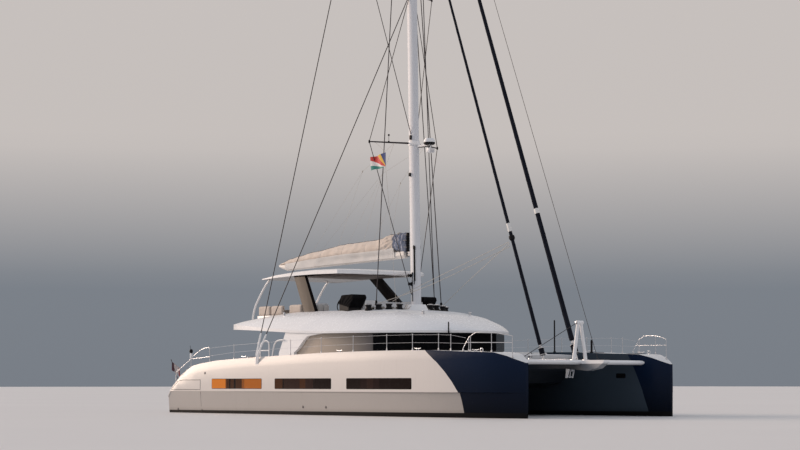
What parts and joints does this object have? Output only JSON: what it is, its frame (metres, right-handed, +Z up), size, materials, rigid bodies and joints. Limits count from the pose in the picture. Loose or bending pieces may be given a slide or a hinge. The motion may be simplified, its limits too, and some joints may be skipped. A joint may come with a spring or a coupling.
{
  "type": "sailing catamaran",
  "caption": "Large cruising catamaran afloat: two hulls, bridge deck, saloon, flybridge with hardtop, raked mast, boom with stowed sail, furled headsails.",
  "frame": {"origin": "amidships on the centreline, on the waterline", "axes": "+X to the bows, +Y to port, +Z up"},
  "size_m": [23.48, 10.78, 37.8],
  "materials": {
    "hull_paint": "gloss white gelcoat on composite",
    "deck": "matt non-slip",
    "antifouling": "matt black",
    "dark_glass": "dark tint",
    "spar": "white paint, satin",
    "steel": "polished",
    "engine_steel": "painted",
    "bronze": "dull",
    "rod": "dark",
    "sailcloth": "dark cover cloth",
    "canvas": "beige canvas",
    "cushion": "beige upholstery",
    "console": "matt black",
    "net": "black mesh",
    "teak": "oiled"
  },
  "bodies": {
    "boat": {"hull_port": "hull_paint", "hull_starboard": "hull_paint", "keel_port": "antifouling", "keel_starboard": "antifouling", "shaft_strut_port": "bronze", "shaft_strut_starboard": "bronze", "engine_port": "engine_steel", "engine_starboard": "engine_steel", "bridge_deck": "hull_paint", "roof_and_flybridge": "hull_paint", "saloon_walls": "hull_paint", "saloon_glass_front": "dark_glass", "saloon_glass_port": "dark_glass", "saloon_glass_starboard": "dark_glass", "door_fixed_leaf": "dark_glass", "side_fin_port": "hull_paint", "side_fin_starboard": "hull_paint", "flybridge_stair": "teak", "hardtop": "hull_paint", "hardtop_strut_port": "spar", "hardtop_strut_starboard": "spar", "hardtop_pillar_port": "hull_paint", "hardtop_pillar_starboard": "hull_paint", "helm_console_port": "console", "helm_console_starboard": "console", "helm_seat_port": "cushion", "helm_seat_starboard": "cushion", "flybridge_sofa": "cushion", "cockpit_sofa": "cushion", "spreaders_lower": "spar", "spreaders_middle": "spar", "spreaders_upper": "spar", "mast": "spar", "crossbeam": "spar", "longeron": "hull_paint", "striker": "spar", "trampoline_port": "net", "trampoline_starboard": "net", "anchor": "steel", "staysail_furled": "sailcloth", "genoa_furled": "sailcloth", "cap_shroud_port": "rod", "cap_shroud_starboard": "rod", "lower_shroud_port": "rod", "lower_shroud_starboard": "rod", "radome": "hull_paint", "guard_rail_port": "steel", "guard_rail_starboard": "steel"},
    "boom": {"boom": "spar", "sail_bag": "canvas"},
    "rudder_port": {"rudder_port": "antifouling"},
    "rudder_starboard": {"rudder_starboard": "antifouling"},
    "propeller_port": {"propeller_port": "bronze"},
    "propeller_starboard": {"propeller_starboard": "bronze"},
    "helm_wheel_port": {"helm_wheel_port": "steel"},
    "helm_wheel_starboard": {"helm_wheel_starboard": "steel"},
    "saloon_door": {"door_sliding_leaf": "dark_glass"},
    "hatch_port": {"engine_hatch_port": "deck"},
    "hatch_starboard": {"engine_hatch_starboard": "deck"},
    "stern_platform": {"stern_platform": "teak"}
  },
  "joints": [
    {"name": "boom_swing", "type": "hinge", "parent": "boat", "child": "boom", "pos_m": [-0.32478, 0, 7.15], "axis": [0, 0, 1], "range_deg": [-45, 45]},
    {"name": "rudder_port_turn", "type": "hinge", "parent": "boat", "child": "rudder_port", "pos_m": [-10.45, 4.1, -0.2], "axis": [0, 0, 1], "range_deg": [-35, 35]},
    {"name": "rudder_starboard_turn", "type": "hinge", "parent": "boat", "child": "rudder_starboard", "pos_m": [-10.45, -4.1, -0.2], "axis": [0, 0, 1], "range_deg": [-35, 35]},
    {"name": "propeller_port_spin", "type": "hinge", "parent": "boat", "child": "propeller_port", "pos_m": [-9.45, 4.1, -0.86], "axis": [0.9903, 0, 0.1392], "continuous": true},
    {"name": "propeller_starboard_spin", "type": "hinge", "parent": "boat", "child": "propeller_starboard", "pos_m": [-9.45, -4.1, -0.86], "axis": [0.9903, 0, 0.1392], "continuous": true},
    {"name": "helm_wheel_port_turn", "type": "hinge", "parent": "boat", "child": "helm_wheel_port", "pos_m": [-2.45, 2.07, 4.87], "axis": [0.9397, 0, -0.342], "range_deg": [-455, 455]},
    {"name": "helm_wheel_starboard_turn", "type": "hinge", "parent": "boat", "child": "helm_wheel_starboard", "pos_m": [-2.45, -2.07, 4.87], "axis": [0.9397, 0, -0.342], "range_deg": [-455, 455]},
    {"name": "saloon_door_slide", "type": "slide", "parent": "boat", "child": "saloon_door", "axis": [0, 1, 0], "range_m": [-2.3, 0]},
    {"name": "hatch_port_lift", "type": "hinge", "parent": "boat", "child": "hatch_port", "pos_m": [-6.908, 4.15, 2.449], "axis": [0, 1, 0], "range_deg": [0, 90]},
    {"name": "hatch_starboard_lift", "type": "hinge", "parent": "boat", "child": "hatch_starboard", "pos_m": [-6.908, -4.15, 2.449], "axis": [0, 1, 0], "range_deg": [0, 90]},
    {"name": "stern_platform_lower", "type": "slide", "parent": "boat", "child": "stern_platform", "axis": [0, 0, 1], "range_m": [-0.9, 0]}
  ],
  "couplings": [
    {"joint": "rudder_port_turn", "follows": "rudder_starboard_turn", "ratio": 1},
    {"joint": "helm_wheel_port_turn", "follows": "rudder_starboard_turn", "ratio": 13},
    {"joint": "helm_wheel_starboard_turn", "follows": "rudder_starboard_turn", "ratio": 13}
  ]
}
